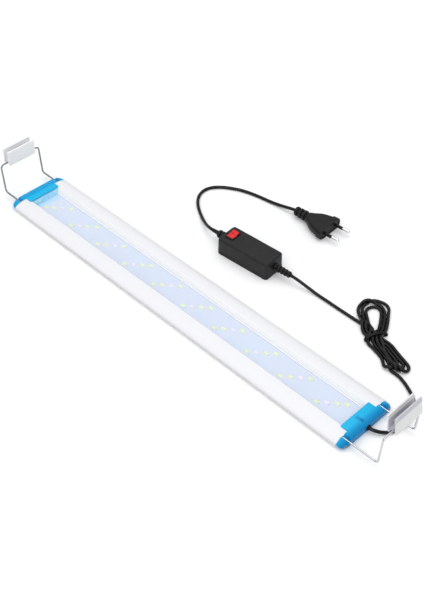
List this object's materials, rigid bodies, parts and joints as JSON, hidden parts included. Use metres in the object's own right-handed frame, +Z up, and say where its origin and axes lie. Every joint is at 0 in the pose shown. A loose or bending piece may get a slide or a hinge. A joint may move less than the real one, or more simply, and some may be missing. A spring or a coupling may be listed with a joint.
{
  "type": "led aquarium light",
  "caption": "Slim aquarium lamp bar with an open row of LEDs, blue end caps, sliding wire brackets with rim clips, in-line switched driver and two-pin plug",
  "frame": {"origin": "middle of the lamp's flat back, on the surface it lies on, without the cord", "axes": "+X along the lamp towards the end where the cable leaves, +Y across it towards the driver, +Z up out of the LED side"},
  "size_m": [0.546, 0.2349, 0.0575],
  "materials": {
    "white_aluminium": "satin white coated extrusion",
    "board_white": "white solder mask",
    "white_led": "yellow phosphor in a white package",
    "blue_led": "clear lens in a white package",
    "clear_acrylic": "clear polished strip",
    "lead_wire": "PVC insulation",
    "clear_sealant": "clear silicone",
    "blue_plastic": "translucent moulded plastic",
    "screw_steel": "plated",
    "black_rubber": "soft moulded",
    "stainless_wire": "drawn stainless wire",
    "white_plastic": "moulded",
    "driver_black": "fine texture",
    "circuit_board": "green solder mask",
    "transformer_tape": "yellow tape on ferrite",
    "capacitor_sleeve": "shrink sleeve",
    "ferrite": "sintered",
    "switch_black": "moulded",
    "switch_red": "moulded, slightly translucent",
    "contact_metal": "tinned",
    "relief_rubber": "soft moulded",
    "cord_black": "smooth PVC jacket",
    "tie_black": "coated wire tie",
    "plug_black": "moulded",
    "pin_metal": "nickel plated",
    "sleeve_black": "insulating sleeve"
  },
  "bodies": {
    "root": {"lamp_shell": "white_aluminium", "led_board": "board_white", "white_leds": "white_led", "blue_leds": "blue_led", "clear_cover": "clear_acrylic", "supply_leads": "lead_wire", "channel_seal_left": "clear_sealant", "channel_seal_right": "clear_sealant", "end_cap_left": "blue_plastic", "end_cap_right": "blue_plastic", "cap_screws_left": "screw_steel", "cap_screws_right": "screw_steel", "cable_grommet": "black_rubber", "lamp_cord_near": "cord_black", "cord_bundle": "cord_black", "lamp_cord_far": "cord_black", "cord_tie": "tie_black", "mains_cord": "cord_black", "driver_lid": "driver_black", "driver_base": "driver_black", "driver_board": "circuit_board", "driver_transformer": "transformer_tape", "driver_capacitors": "capacitor_sleeve", "driver_choke": "ferrite", "switch_frame": "switch_black", "switch_terminals": "contact_metal", "mains_strain_relief": "relief_rubber", "output_strain_relief": "relief_rubber", "plug_body": "plug_black", "plug_pins": "pin_metal", "pin_sleeves": "sleeve_black"},
    "left_bracket": {"left_bracket_wire": "stainless_wire"},
    "right_bracket": {"right_bracket_wire": "stainless_wire"},
    "left_foot": {"left_foot_clip": "white_plastic"},
    "right_foot": {"right_foot_clip": "white_plastic"},
    "rocker": {"switch_rocker": "switch_red"}
  },
  "joints": [
    {"name": "left_bracket_slide", "type": "slide", "parent": "root", "child": "left_bracket", "axis": [-1, 0, 0], "range_m": [-0.017, 0.0786]},
    {"name": "right_bracket_slide", "type": "slide", "parent": "root", "child": "right_bracket", "axis": [1, 0, 0], "range_m": [-0.027, 0.0686]},
    {"name": "left_foot_tilt", "type": "hinge", "parent": "left_bracket", "child": "left_foot", "pos_m": [-0.26302, 0, 0.0406], "axis": [0, 1, 0], "range_deg": [-93, 87]},
    {"name": "right_foot_tilt", "type": "hinge", "parent": "right_bracket", "child": "right_foot", "pos_m": [0.27302, 0.003, 0.0406], "axis": [0, 1, 0], "range_deg": [-80, 100]},
    {"name": "switch_rock", "type": "hinge", "parent": "root", "child": "rocker", "pos_m": [-0.01646, 0.08866, 0.021], "axis": [0.9976, 0.0698, 0], "range_deg": [-18, 0]}
  ]
}
